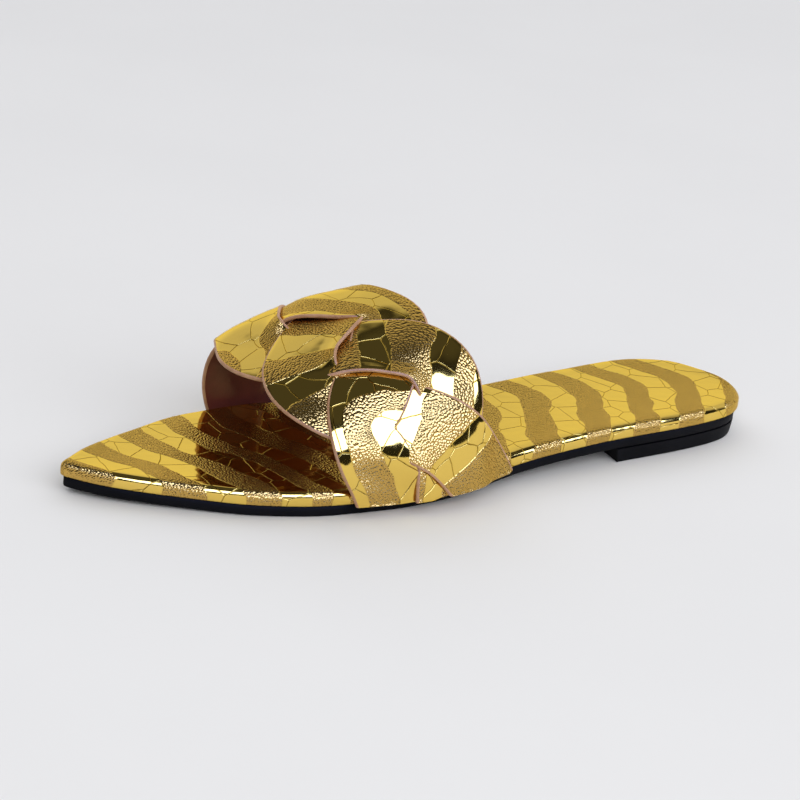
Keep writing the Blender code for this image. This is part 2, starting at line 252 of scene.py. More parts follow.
def sole_leaf(name, last_turn, inset, height, sag=0.0):
    """A grid from the heel end to last_turn, with the outline drawn in by inset. height is a function of
    the share of the length, and sag is how far the middle of the leaf lies lower."""
    bpy.ops.mesh.primitive_grid_add(x_subdivisions=SOLE_STATIONS, y_subdivisions=SOLE_LANES, size=LENGTH)
    leaf = bpy.context.object
    leaf.name = name
    turn_of = leaf.data.attributes.new("turn", "FLOAT", "POINT").data
    columns = SOLE_STATIONS + 1
    for k, corner in enumerate(leaf.data.vertices):
        turn = last_turn * (k % columns) / SOLE_STATIONS
        share = (k // columns) / SOLE_LANES
        inner = outline_point(2 - turn, inset)
        outer = outline_point(turn, inset)
        width = (outer - inner).length
        low = float(height(along_of(inner.x)))
        high = float(height(along_of(outer.x)))
        place = inner.lerp(outer, share)
        dip = sag * 4 * share * (1 - share) * min(1, width / HEEL_WIDTH)
        corner.co = (place.x, place.y, low + (high - low) * share - dip)
        turn_of[k].value = turn if share > 0.5 else (2 - turn) % 2
    activate(leaf)
    bpy.ops.object.mode_set(mode="EDIT")
    bpy.ops.mesh.select_all(action="SELECT")
    bpy.ops.mesh.remove_doubles(threshold=SOLE_MERGE)
    bpy.ops.object.mode_set(mode="OBJECT")
    return leaf


# %% Extrude the open edge by one ring


def add_ring(leaf, inset, height):
    """Extrudes the leaf's open edge and lays the new ring at its inset and height."""
    activate(leaf)
    bpy.ops.object.mode_set(mode="EDIT")
    bpy.ops.mesh.select_mode(type="VERT")
    bpy.ops.mesh.select_all(action="DESELECT")
    bpy.ops.mesh.select_non_manifold()
    bpy.ops.mesh.extrude_edges_move()
    bpy.ops.object.mode_set(mode="OBJECT")
    turn_of = leaf.data.attributes["turn"].data
    for k, corner in enumerate(leaf.data.vertices):
        if corner.select:
            place = outline_point(turn_of[k].value, inset)
            corner.co = (place.x, place.y, float(height(along_of(place.x))))


# %% Close the part with a second leaf
SHARPEST_SMOOTH = np.radians(50)


def close_with(leaf, lid):
    """Joins the leaf and its lid where their rims meet, and turns all faces outwards."""
    activate(leaf)
    lid.select_set(True)
    bpy.ops.object.join()
    bpy.ops.object.mode_set(mode="EDIT")
    bpy.ops.mesh.select_all(action="SELECT")
    bpy.ops.mesh.remove_doubles(threshold=SOLE_MERGE)
    bpy.ops.mesh.normals_make_consistent(inside=False)
    bpy.ops.mesh.select_all(action="DESELECT")
    bpy.ops.mesh.select_non_manifold()
    bpy.ops.object.mode_set(mode="OBJECT")
    still_open = sum(corner.select for corner in leaf.data.vertices)
    bpy.ops.object.shade_smooth_by_angle(angle=SHARPEST_SMOOTH)
    print(leaf.name, "has", len(leaf.data.polygons), "faces and", still_open, "open corners")


# %% [markdown]
# ## Materials are small networks of nodes
# A material is built from nodes: a pattern is made from coordinates, and drives colour, roughness and bump.
# A short helper keeps the networks readable: it adds a node, sets its sockets and links other nodes to it.

# %% A helper that adds a node


def add_node(tree, kind, settings=None, **sockets):
    """Adds a node. settings are its properties. A socket given an output is linked, else it is set."""
    node = tree.nodes.new("ShaderNode" + kind)
    for key, value in (settings or {}).items():
        setattr(node, key, value)
    for key, value in sockets.items():
        socket = node.inputs[int(key[1:])] if key[1:].isdigit() else node.inputs[key.replace("_", " ")]
        if isinstance(value, bpy.types.NodeSocket):
            tree.links.new(value, socket)
        else:
            socket.default_value = value
    return node


def new_material(name):
    """A material with its Principled shader, and its tree."""
    material = bpy.data.materials.new(name)
    material.use_nodes = True
    tree = material.node_tree
    return material, tree, tree.nodes["Principled BSDF"]


def math_node(tree, operation, first, second=0.0, third=0.0):
    return add_node(tree, "Math", {"operation": operation}, _0=first, _1=second, _2=third).outputs[0]


def soft_step(tree, value, start, end):
    """0 below start, 1 above end, smooth between."""
    settings = {"interpolation_type": "SMOOTHSTEP"}
    step = add_node(tree, "MapRange", settings, Value=value, From_Min=start, From_Max=end)
    return step.outputs["Result"]


def mix_colour(tree, share, first, second, blend="MIX"):
    settings = {"data_type": "RGBA", "blend_type": blend}
    mixed = add_node(tree, "Mix", settings, _0=share, _6=first, _7=second)
    return mixed.outputs[2]


# %% [markdown]
# ## Gold foil leather
# Thin metal foil on leather. The smooth stripes are nearly mirrors, crossed by the fine grooves of a scale
# print, and the pebbled stripes are covered with small round grains that break the reflection up into
# sparkles. The grains and the grooves are Voronoi cells on the UV map, which lies flat on the leather in
# units of 100 mm, so they keep their size where a strip bends. The attribute bands says which stripe it is:
# its distance to the nearest whole number is 0 in a smooth stripe's middle and 0.5 in a pebbled one's.

# %% Make the foil
# GRAIN and SCALE are the sizes of a pebble and of a scale in millimetres. A stripe's border wavers by
# STRIPE_WANDER of a stripe's width, and the print's lines by PRINT_WANDER millimetres.
SMOOTH_GOLD = (0.88, 0.61, 0.13, 1)
PEBBLED_GOLD = (0.64, 0.40, 0.10, 1)
GROOVE_BROWN = (0.42, 0.25, 0.03, 1)
EDGE_TINT = (1.0, 0.86, 0.45, 1)
GRAIN = 0.85
SCALE = 10.5
STRIPE_WANDER = 0.22
PRINT_WANDER = 1.2
STRIPE_BORDER = (0.238, 0.262)
GROOVE_BORDER = (0.004, 0.022)
SMOOTH_ROUGHNESS = 0.08
PEBBLED_ROUGHNESS = 0.22
GRAIN_RELIEF = 0.27 * MM
GROOVE_RELIEF = 0.12 * MM
WAVE_RELIEF = 0.10 * MM


def foil_leather():
    foil, tree, shader = new_material("gold_foil_leather")
    flat = add_node(tree, "TexCoord").outputs["UV"]
    flat_mm = add_node(tree, "VectorMath", {"operation": "SCALE"}, Vector=flat, Scale=100.0).outputs[0]
    count = add_node(tree, "Attribute", {"attribute_name": "bands"}).outputs["Fac"]
    wander = add_node(tree, "TexNoise", {"noise_dimensions": "2D"}, Vector=flat_mm, Scale=0.07, Detail=1.0)
    wander_by = math_node(tree, "MULTIPLY_ADD", wander.outputs["Fac"], STRIPE_WANDER, -STRIPE_WANDER / 2)
    wavy_count = math_node(tree, "ADD", count, wander_by)
    to_middle = math_node(tree, "PINGPONG", wavy_count, 0.5)
    pebbled = soft_step(tree, to_middle, *STRIPE_BORDER)

    grain = add_node(tree, "TexVoronoi", {"voronoi_dimensions": "2D"}, Vector=flat_mm, Scale=1 / GRAIN)
    grain_up = math_node(tree, "SUBTRACT", 1.0, grain.outputs["Distance"])
    grain_height = math_node(tree, "MULTIPLY", grain_up, pebbled)

    bent = add_node(tree, "TexNoise", {"noise_dimensions": "2D"}, Vector=flat_mm, Scale=0.12, Detail=2.0)
    sideways = (PRINT_WANDER, PRINT_WANDER, 0)
    bent_by = add_node(tree, "VectorMath", {"operation": "MULTIPLY"}, _0=bent.outputs["Color"], _1=sideways)
    print_place = add_node(tree, "VectorMath", {"operation": "ADD"}, _0=flat_mm, _1=bent_by.outputs[0])
    settings = {"voronoi_dimensions": "2D", "feature": "DISTANCE_TO_EDGE"}
    place = print_place.outputs[0]
    cells = add_node(tree, "TexVoronoi", settings, Vector=place, Scale=1 / SCALE, Randomness=0.75)
    off_groove = soft_step(tree, cells.outputs["Distance"], *GROOVE_BORDER)
    groove = math_node(tree, "SUBTRACT", 1.0, off_groove)
    smooth = math_node(tree, "SUBTRACT", 1.0, pebbled)
    groove_here = math_node(tree, "MULTIPLY", groove, smooth)

    colour = mix_colour(tree, pebbled, SMOOTH_GOLD, PEBBLED_GOLD)
    grooved = mix_colour(tree, groove_here, colour, GROOVE_BROWN)
    tree.links.new(grooved, shader.inputs["Base Color"])
    rougher = PEBBLED_ROUGHNESS - SMOOTH_ROUGHNESS
    rough = math_node(tree, "MULTIPLY_ADD", pebbled, rougher, SMOOTH_ROUGHNESS)
    tree.links.new(rough, shader.inputs["Roughness"])
    shader.inputs["Metallic"].default_value = 1.0
    shader.inputs["Specular Tint"].default_value = EDGE_TINT

    waves = add_node(tree, "TexNoise", {"noise_dimensions": "2D"}, Vector=flat_mm, Scale=0.16, Detail=1.0)
    wave_bump = add_node(tree, "Bump", None, Distance=WAVE_RELIEF, Height=waves.outputs["Fac"], Strength=1.0)
    waved = wave_bump.outputs[0]
    grain_bump = add_node(
        tree, "Bump", None, Distance=GRAIN_RELIEF, Height=grain_height, Normal=waved, Strength=1.0
    )
    grained = grain_bump.outputs[0]
    groove_bump = add_node(
        tree, "Bump", None, Distance=-GROOVE_RELIEF, Height=groove_here, Normal=grained, Strength=1.0
    )
    tree.links.new(groove_bump.outputs[0], shader.inputs["Normal"])
    return foil


foil = foil_leather()
print("made", foil.name)

# %% [markdown]
# ## The cut edge, the lining and the rubber
# The strips' cut edges are painted pinkish tan, the inside is lined with brown leather, and the sole is
# black rubber with a faint grain. None of them is one flat colour: each varies a little, as real ones do.

# %% Make the quiet materials


def quiet_material(name, colour, second, roughness, grain_size, relief, patch_size):
    """A matt material whose colour drifts between two tones, with a fine bumpy grain."""
    made, tree, shader = new_material(name)
    place = add_node(tree, "TexCoord").outputs["Object"]
    patches = add_node(tree, "TexNoise", None, Vector=place, Scale=1 / patch_size, Detail=3.0)
    share = soft_step(tree, patches.outputs["Fac"], 0.35, 0.65)
    tree.links.new(mix_colour(tree, share, colour, second), shader.inputs["Base Color"])
    shader.inputs["Roughness"].default_value = roughness
    grain = add_node(tree, "TexNoise", None, Vector=place, Scale=1 / grain_size, Detail=4.0)
    bump = add_node(tree, "Bump", None, Strength=0.6, Distance=relief, Height=grain.outputs["Fac"])
    tree.links.new(bump.outputs[0], shader.inputs["Normal"])
    return made


cut_edge = quiet_material(
    "tan_cut_edge",
    colour=(0.54, 0.31, 0.18, 1),
    second=(0.44, 0.23, 0.12, 1),
    roughness=0.5,
    grain_size=0.5 * MM,
    relief=0.06 * MM,
    patch_size=6 * MM,
)
lining = quiet_material(
    "brown_lining",
    colour=(0.17, 0.038, 0.026, 1),
    second=(0.12, 0.026, 0.017, 1),
    roughness=0.42,
    grain_size=0.9 * MM,
    relief=0.10 * MM,
    patch_size=14 * MM,
)
rubber = quiet_material(
    "black_rubber",
    colour=(0.002, 0.002, 0.0025, 1),
    second=(0.004, 0.004, 0.005, 1),
    roughness=0.55,
    grain_size=0.7 * MM,
    relief=0.05 * MM,
    patch_size=20 * MM,
)
RUBBER_GLOSS = 0.08
rubber.node_tree.nodes["Principled BSDF"].inputs["Specular IOR Level"].default_value = RUBBER_GLOSS
print("made", cut_edge.name + ",", lining.name, "and", rubber.name)

# %% [markdown]
# ## The outsole
# A thin leaf of black rubber, drawn in a little from the footbed's edge. Its tread edge is chamfered, as a
# trimmed sole's is. The grid is laid as the tread, and the rings rise from it to the footbed.

# %% Model the outsole
outsole = sole_leaf("rubber_outsole", 1, OUTSOLE_INSET + TREAD_CHAMFER, outsole_underside)
add_ring(outsole, OUTSOLE_INSET + 0.25 * TREAD_CHAMFER, lambda s: outsole_underside(s) + 0.3 * TREAD_CHAMFER)
add_ring(outsole, OUTSOLE_INSET, lambda s: outsole_underside(s) + TREAD_CHAMFER)
add_ring(outsole, OUTSOLE_INSET, lambda s: outsole_underside(s) + 0.5 * OUTSOLE_THICKNESS)
add_ring(outsole, OUTSOLE_INSET, lambda s: footbed_underside(s) - 2 * GAP)
add_ring(outsole, OUTSOLE_INSET + GAP, lambda s: footbed_underside(s) - GAP)
outsole_lid = sole_leaf("outsole_lid", 1, OUTSOLE_INSET + GAP, lambda s: footbed_underside(s) - GAP)
close_with(outsole, outsole_lid)
outsole.data.materials.append(rubber)
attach(outsole, "root")
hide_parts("outsole")

# %% [markdown]
# ## The heel block
# A flat slide stands on a low block of stacked rubber. Its front face, the breast, leans back towards the
# floor. The leaf ends at the breast, so its last row of points is moved onto the leaning face.

# %% Model the heel block
HEEL_TOP = HEEL_BLOCK_HEIGHT - GAP
HEEL_LAST_TURN = float(even_turn(HEEL_BLOCK_LENGTH / LENGTH))
BREAST = x_of(HEEL_BLOCK_LENGTH / LENGTH)


def lean_breast(block):
    """Moves what lies on the breast, or past it, onto its leaning face."""
    turn_of = block.data.attributes["turn"].data
    for k, corner in enumerate(block.data.vertices):
        turn = turn_of[k].value
        if min(turn, 2 - turn) > HEEL_LAST_TURN - 1e-4:
            corner.co.x = BREAST - BREAST_LEAN * (1 - corner.co.z / HEEL_TOP)


heel_block = sole_leaf("rubber_heel", HEEL_LAST_TURN, OUTSOLE_INSET + 2 * TREAD_CHAMFER, lambda s: 0.0)
add_ring(heel_block, OUTSOLE_INSET + 1.2 * TREAD_CHAMFER, lambda s: 0.35 * TREAD_CHAMFER)
add_ring(heel_block, OUTSOLE_INSET + 0.95 * TREAD_CHAMFER, lambda s: TREAD_CHAMFER)
add_ring(heel_block, OUTSOLE_INSET + 0.45 * TREAD_CHAMFER, lambda s: 0.5 * HEEL_TOP)
add_ring(heel_block, OUTSOLE_INSET, lambda s: HEEL_TOP)
lean_breast(heel_block)
heel_lid = sole_leaf("heel_lid", HEEL_LAST_TURN, OUTSOLE_INSET, lambda s: HEEL_TOP)
lean_breast(heel_lid)
close_with(heel_block, heel_lid)
heel_block.data.materials.append(rubber)
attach(heel_block, "root")
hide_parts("heel_block")

# %% [markdown]
# ## The footbed
# An insole board wrapped in foil leather: softly dished on top, with a rounded upper edge and a straight
# side. The dished leaf comes first, then quarter round rings, then the side down to the outsole.

# %% Model the footbed
ROUNDING_STEPS = 7
SOFT_EDGE = np.radians(60)


def footbed_level(rise):
    return lambda s: footbed_underside(s) + rise


footbed = sole_leaf("foil_footbed", 1, FOOTBED_ROUNDING, footbed_level(FOOTBED_THICKNESS), FOOTBED_DISH)
for angle in np.linspace(np.pi / 2, 0, ROUNDING_STEPS)[1:]:
    drawn_in = FOOTBED_ROUNDING * (1 - np.cos(angle))
    fallen = FOOTBED_ROUNDING * (1 - np.sin(angle))
    add_ring(footbed, drawn_in, footbed_level(FOOTBED_THICKNESS - fallen))
add_ring(footbed, 0.0, footbed_level(TREAD_CHAMFER))
add_ring(footbed, 0.15 * TREAD_CHAMFER, footbed_level(0.25 * TREAD_CHAMFER))
add_ring(footbed, 0.5 * TREAD_CHAMFER, footbed_level(0))
footbed_lid = sole_leaf("footbed_lid", 1, 0.5 * TREAD_CHAMFER, footbed_level(0))
close_with(footbed, footbed_lid)
bpy.ops.object.shade_smooth_by_angle(angle=SOFT_EDGE)

# %% Stripes across the footbed
# They lie about 21 mm apart and bow: the middle of each stripe is nearer the heel, and towards the toe they
# run slantwise. Rows give how far a stripe reaches forwards at each place across the footbed, in millimetres.
BowRow = namedtuple("BowRow", "across at_heel at_toe")
BOW = [
    BowRow(-40, 20.0, 14.0),
    BowRow(-24, 8.0, 10.0),
    BowRow(-15, 1.5, 8.0),
    BowRow(-5, -0.8, 3.6),
    BowRow(0, 0.0, 0.0),
    BowRow(5, 2.5, -4.5),
    BowRow(15, 7.3, -9.8),
    BowRow(24, 11.0, -13.0),
    BowRow(44, 18.0, -20.0),
]
STRIPE_MIDDLES = [-11.5, 10, 31, 51.5, 73.5, 96, 217, 238.5, 259.5, 281]
STRIPE_COUNTS = [-1, 0, 1, 2, 3, 4, 10, 11, 12, 13]
bow_at_heel = smooth_curve([row.across * MM for row in BOW], [row.at_heel * MM for row in BOW])
bow_at_toe = smooth_curve([row.across * MM for row in BOW], [row.at_toe * MM for row in BOW])


def footbed_stripe(x, y):
    forward = x + HEEL_CENTRE
    share = np.clip((forward - 110 * MM) / (90 * MM), 0, 1)
    bow = bow_at_heel(y) * (1 - share) + bow_at_toe(y) * share
    return float(np.interp(forward - bow, np.array(STRIPE_MIDDLES) * MM, STRIPE_COUNTS))


bands = footbed.data.attributes.new("bands", "FLOAT", "POINT").data
laid_flat = []
for k, corner in enumerate(footbed.data.vertices):
    x, y, z = corner.co
    bands[k].value = footbed_stripe(x, y)
    fallen = max(0.0, float(footbed_underside(along_of(x))) + FOOTBED_THICKNESS - z - FOOTBED_DISH)
    laid_flat.append((10 * x, 10 * (y + np.sign(y) * fallen)))
for loop, spot in zip(footbed.data.loops, footbed.data.uv_layers.active.data):
    spot.uv = laid_flat[loop.vertex_index]
footbed.data.materials.append(foil)
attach(footbed, "root")
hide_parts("footbed")

# %% [markdown]
# ## The lining surface under the braid
# The three strips are pulled over the instep of a last. That surface is drawn section by section: each is
# a rounded arch from one edge of the footbed to the other, higher at the back than at the front.

# %% Sizes of the braid
INSTEP_OPENING = 49 * MM
INSTEP_FULLNESS = 2.5
STRIP_WIDTH = 25 * MM
STRIP_THICKNESS = 1.6 * MM
STRIP_SLACK = 0.3 * MM
STRIP_CROWN = 0.4 * MM
LIFT_RAMP = 7 * MM
STRIP_TAIL = 6 * MM
BUNCHING = 0.7
SECTION_STEPS = 60

RidgeRow = namedtuple("RidgeRow", "along height inward")
RIDGE = [
    RidgeRow(0.350, 1.095, 0.100),
    RidgeRow(0.440, 1.055, 0.110),
    RidgeRow(0.530, 0.985, 0.160),
    RidgeRow(0.630, 0.857, 0.235),
    RidgeRow(0.720, 0.635, 0.300),
    RidgeRow(0.790, 0.505, 0.300),
    RidgeRow(0.880, 0.430, 0.300),
]
ridge_height = smooth_curve([row.along for row in RIDGE], [row.height for row in RIDGE])
ridge_inward = smooth_curve([row.along for row in RIDGE], [row.inward for row in RIDGE])

# %% One section of the lining, and a point on it


def instep_section(along):
    """The lining's line across the shoe: each point's run along it, its place across and its height, and
    the whole run between the edges of the footbed's underside."""
    half = even_turn(along)
    low = footbed_underside(along)
    spring = low + FOOTBED_THICKNESS
    rise = ridge_height(along) * INSTEP_OPENING
    ridge = -ridge_inward(along) * BALL_WIDTH
    outer = outer_half(half) + GAP
    inner = -inner_half(half) - GAP
    angle = np.linspace(0, np.pi, SECTION_STEPS)
    sideways = np.sign(np.cos(angle)) * abs(np.cos(angle)) ** (2 / INSTEP_FULLNESS)
    upwards = np.maximum(np.sin(angle), 0) ** (2 / INSTEP_FULLNESS)
    reach = np.where(sideways > 0, outer - ridge, ridge - inner)
    across = np.concatenate([[outer, outer], ridge + reach * sideways, [inner, inner]])
    height = np.concatenate([[low - STRIP_TAIL, low], spring + rise * upwards, [low, low - STRIP_TAIL]])
    steps = np.hypot(np.diff(across), np.diff(height))
    run = np.concatenate([[0], np.cumsum(steps)]) - STRIP_TAIL
    return run, across, height, run[-1] - STRIP_TAIL


def on_lining(along, over):
    run, across, height, whole = instep_section(along)
    at = over * whole
    return Vector((x_of(along), np.interp(at, run, across), np.interp(at, run, height)))


def lining_normal(along, over):
    nudge_along = 0.004
    nudge_over = 0.01
    forward = on_lining(along + nudge_along, over) - on_lining(along - nudge_along, over)
    inward = on_lining(along, over + nudge_over) - on_lining(along, over - nudge_over)
    return inward.cross(forward).normalized()


MIDDLE_RUN = instep_section(0.63)[3]
print("the lining runs", round(1000 * MIDDLE_RUN), "mm from edge to edge over the middle of the instep")

# %% [markdown]
# ## The braid's three strips
# Three flat strips of lined leather are braided over the instep. Laid flat, each strip's centre line winds
# from side to side and turns at the braid's front and back edges. A table gives each line by a few rows:
# the share of the length, and the share of the way over the instep from the outer edge to the inner one.
# The bends, or turns, are numbered along the braid, one strip after the other as in plaiting, so the
# numbers tell which stretch lies over which. Where strips cross, the upper one is lifted by the thickness of
# what lies under it, over a soft ramp.

# %% The centre lines
StripRow = namedtuple("StripRow", "turn along over")
BETWEEN = None
STRIPS = {
    "rear": [
        StripRow(0, 0.470, -0.040),
        StripRow(BETWEEN, 0.500, 0.050),
        StripRow(BETWEEN, 0.550, 0.145),
        StripRow(BETWEEN, 0.611, 0.200),
        StripRow(BETWEEN, 0.672, 0.247),
        StripRow(3, 0.702, 0.345),
        StripRow(BETWEEN, 0.681, 0.460),
        StripRow(BETWEEN, 0.638, 0.525),
        StripRow(BETWEEN, 0.595, 0.640),
        StripRow(6, 0.580, 0.800),
        StripRow(BETWEEN, 0.590, 0.900),
        StripRow(9, 0.600, 1.040),
    ],
    "front": [
        StripRow(-2, 0.607, -0.040),
        StripRow(BETWEEN, 0.634, 0.080),
        StripRow(1, 0.655, 0.175),
        StripRow(BETWEEN, 0.622, 0.300),
        StripRow(BETWEEN, 0.585, 0.390),
        StripRow(4, 0.567, 0.500),
        StripRow(BETWEEN, 0.600, 0.587),
        StripRow(BETWEEN, 0.642, 0.657),
        StripRow(BETWEEN, 0.690, 0.740),
        StripRow(7, 0.709, 0.830),
        StripRow(BETWEEN, 0.700, 0.930),
        StripRow(10, 0.680, 1.040),
    ],
    "middle": [
        StripRow(-1, 0.538, -0.040),
        StripRow(BETWEEN, 0.540, 0.110),
        StripRow(2, 0.530, 0.240),
        StripRow(BETWEEN, 0.552, 0.337),
        StripRow(BETWEEN, 0.610, 0.390),
        StripRow(BETWEEN, 0.680, 0.430),
        StripRow(5, 0.722, 0.558),
        StripRow(BETWEEN, 0.711, 0.680),
        StripRow(BETWEEN, 0.675, 0.773),
        StripRow(BETWEEN, 0.633, 0.847),
        StripRow(BETWEEN, 0.575, 0.955),
        StripRow(8, 0.530, 1.040),
    ],
}

# %% Draw a centre line through its rows
STRIP_STEP = 2.0 * MM


def strip_line(rows):
    """Evenly stepped places of the line laid flat, in metres, the turn that each one comes after, and how
    far along the line it is."""
    flat = np.array([(row.along * LENGTH, row.over * MIDDLE_RUN) for row in rows])
    knots = np.concatenate([[0], np.cumsum(np.linalg.norm(np.diff(flat, axis=0), axis=1))])
    tangent = np.gradient(flat, knots, axis=0)
    fine = np.linspace(0, knots[-1], 8 * int(knots[-1] / STRIP_STEP))
    k = np.clip(np.searchsorted(knots, fine) - 1, 0, len(rows) - 2)
    span = np.diff(knots)[k][:, None]
    t = ((fine - knots[k]) / span[:, 0])[:, None]
    places = cubic(flat[k], flat[k + 1], tangent[k] * span, tangent[k + 1] * span, t)
    turn = rows[0].turn
    turns = []
    for row in rows:
        turn = turn if row.turn is BETWEEN else row.turn
        turns.append(turn)
    run = np.concatenate([[0], np.cumsum(np.linalg.norm(np.diff(places, axis=0), axis=1))])
    even = np.linspace(0, run[-1], int(run[-1] / STRIP_STEP))
    places = np.column_stack([np.interp(even, run, places[:, side]) for side in (0, 1)])
    return places, np.asarray(turns)[k][np.searchsorted(run, even).clip(0, len(k) - 1)], even


LINES = {name: strip_line(rows) for name, rows in STRIPS.items()}
for name, (places, turns, runs) in LINES.items():
    print(name, "strip is", round(1000 * runs[-1]), "mm long")

# %% Which strip lies over which


def eased(share):
    """A share from 0 to 1 with a soft start and a soft end."""
    return share * share * (3 - 2 * share)


def line_after(turn):
    """The stretch of a centre line that follows this turn, or None where no strip makes it."""
    for places, turns, runs in LINES.values():
        if (turns == turn).any():
            return places[turns == turn]
    return None


def covers(flat, turn):
    """1 where this stretch lies under the place, 0 well clear of it, with a soft ramp between."""
    beneath = line_after(turn)
    if beneath is None:
        return 0.0
    away = np.linalg.norm(beneath - flat, axis=1).min() - STRIP_WIDTH / 2
    return eased(np.clip(1 - away / LIFT_RAMP, 0, 1))


def layers_under(flat, turn):
    """A stretch lies over the one that follows the turn before it, and that one over its own. A loop also
    lies over what its strip crosses on either side."""
    under = covers(flat, turn - 1) * (1 + covers(flat, turn - 2))
    return max(under, covers(flat, turn + 2), covers(flat, turn - 4))


# %% Where the strip bends, its inner edge bunches up
BEND_REACH = 8.4 * MM


def bend(places, k):
    """The centre line's curvature at a step, positive where the strip turns towards its first lane."""
    reach = round(BEND_REACH / STRIP_STEP)
    first = max(k - reach, 0)
    last = min(k + reach, len(places) - 1)
    before = places[k] - places[first]
    after = places[last] - places[k]
    if min(np.linalg.norm(before), np.linalg.norm(after)) == 0:
        return 0.0
    turned = np.cross(before, after) / np.linalg.norm(before) / np.linalg.norm(after)
    return 2 * np.arcsin(np.clip(turned, -1, 1)) / (np.linalg.norm(before) + np.linalg.norm(after))


def lane_reach(lane, curve):
    """How far a lane lies from the centre line. On the inside of a bend it stops short of the centre."""
    reach = lane * STRIP_WIDTH / 2
    room = BUNCHING / max(abs(curve), BUNCHING / STRIP_WIDTH)
    if reach * curve < 0:
        reach = np.sign(lane) * min(abs(reach), room * abs(lane))
    return reach


# %% [markdown]
# ## The stripes
# The leather is printed with wavy stripes: smooth mirror foil and pebbled foil by turns. The strips are
# cut from it in different directions, so the stripes run along a strip in one place and across it in
# another. A mesh attribute named bands counts the stripes: it is a whole number in the middle of a smooth
# stripe and a half in the middle of a pebbled one. A table gives it along each strip, and how much it
# changes from the centre line to the edge.

# %% Stripes along the strips
StripeRow = namedtuple("StripeRow", "run count to_edge")
STRIP_STRIPES = {
    "rear": [
        StripeRow(0, -0.7, 0.0),
        StripeRow(15, -0.5, 0.0),
        StripeRow(25, 0.0, -0.15),
        StripeRow(38, 0.5, -0.1),
        StripeRow(55, 1.05, 0.0),
        StripeRow(76, 1.55, 0.0),
        StripeRow(88, 2.0, 0.0),
        StripeRow(97, 2.5, 0.0),
        StripeRow(108, 3.0, 0.0),
        StripeRow(120, 3.5, 0.0),
        StripeRow(145, 3.5, 0.6),
        StripeRow(170, 3.6, 0.6),
        StripeRow(185, 4.0, 0.3),
        StripeRow(205, 4.6, 0.0),
    ],
    "front": [
        StripeRow(0, 0.38, 0.6),
        StripeRow(35, 0.38, 0.6),
        StripeRow(60, 1.3, 0.3),
        StripeRow(75, 2.1, 0.7),
        StripeRow(98, 2.15, 0.7),
        StripeRow(122, 2.3, 0.7),
        StripeRow(135, 3.0, 0.5),
        StripeRow(153, 3.6, 0.6),
        StripeRow(170, 4.0, 0.3),
        StripeRow(190, 4.7, 0.0),
    ],
    "middle": [
        StripeRow(0, 0.60, 0.76),
        StripeRow(40, 0.78, 0.76),
        StripeRow(50, 1.1, 0.4),
        StripeRow(62, 1.5, 0.0),
        StripeRow(73, 2.0, 0.0),
        StripeRow(85, 2.5, 0.0),
        StripeRow(97, 3.0, 0.0),
        StripeRow(117, 3.87, 0.65),
        StripeRow(132, 4.0, 0.2),
        StripeRow(148, 4.5, 0.0),
        StripeRow(166, 5.0, 0.0),
        StripeRow(185, 5.5, 0.2),
        StripeRow(212, 6.1, 0.2),
    ],
}


def stripe_counter(rows):
    count = smooth_curve([row.run * MM for row in rows], [row.count for row in rows])
    to_edge = smooth_curve([row.run * MM for row in rows], [row.to_edge for row in rows])
    return lambda run, lane: float(count(run) + lane * to_edge(run))


# %% Cut the tails off at the sole


def trimmed(lane_line):
    """What of a lane lies past the footbed's lower edge is gathered where the lane crosses that edge."""
    trimmed_line = lane_line.copy()
    for edge, side in ((0.0, 1), (MIDDLE_RUN, -1)):
        past = np.flatnonzero((lane_line[:, 1] - edge) * side < 0)
        for k in past:
            step = 1 if k < len(lane_line) / 2 else -1
            near = k
            while 0 <= near < len(lane_line) and (lane_line[near, 1] - edge) * side < 0:
                near += step
            far = near - step
            t = (edge - lane_line[far, 1]) / (lane_line[near, 1] - lane_line[far, 1])
            trimmed_line[k] = lane_line[far] + t * (lane_line[near] - lane_line[far])
    return trimmed_line


# %% A strip's section
# The section is a flat bar with round edges. Each of its points has a place across the strip, a height over
# the strip's underside, and the material of the face that follows it: 0 foil, 1 cut edge, 2 lining.
FACE_LANES = 16
EDGE_STEPS = 5
EDGE_RADIUS = STRIP_THICKNESS / 2

SectionPoint = namedtuple("SectionPoint", "across height finish")


def strip_section():
    flat_half = STRIP_WIDTH / 2 - EDGE_RADIUS
    section = []
    for across in np.linspace(-flat_half, flat_half, FACE_LANES + 1)[:-1]:
        section.append(SectionPoint(across, STRIP_THICKNESS, 0))
    for side in (1, -1):
        for angle in np.linspace(90, -90, EDGE_STEPS + 1)[:-1]:
            out = EDGE_RADIUS * np.cos(np.radians(angle))
            up = EDGE_RADIUS * np.sin(np.radians(angle)) * side
            section.append(SectionPoint(side * (flat_half + out), EDGE_RADIUS + up, 1))
        if side == 1:
            for across in np.linspace(flat_half, -flat_half, FACE_LANES + 1)[:-1]:
                section.append(SectionPoint(across, 0.0, 2))
    return section


SECTION = strip_section()
print("a strip's section has", len(SECTION), "points")

# %% Lift the strips' edges where they stand off
# At a few places an edge stands up off what it crosses. Each row gives the strip, the run to the middle of
# the lift, how far it reaches either way, the edge (1 towards the toe at the outer side, -1 the other), and
# the lift in millimetres.
LiftRow = namedtuple("LiftRow", "strip run reach edge lift")
LIFTS = [
    LiftRow("front", 112, 16, 1, 1.3),
    LiftRow("middle", 121, 16, -1, 2.0),
    LiftRow("middle", 82, 16, -1, 0.8),
    LiftRow("rear", 97, 20, -1, 0.7),
    LiftRow("rear", 92, 18, 1, 0.6),
    LiftRow("front", 72, 14, 1, 0.8),
    LiftRow("rear", 30, 12, -1, 0.5),
]


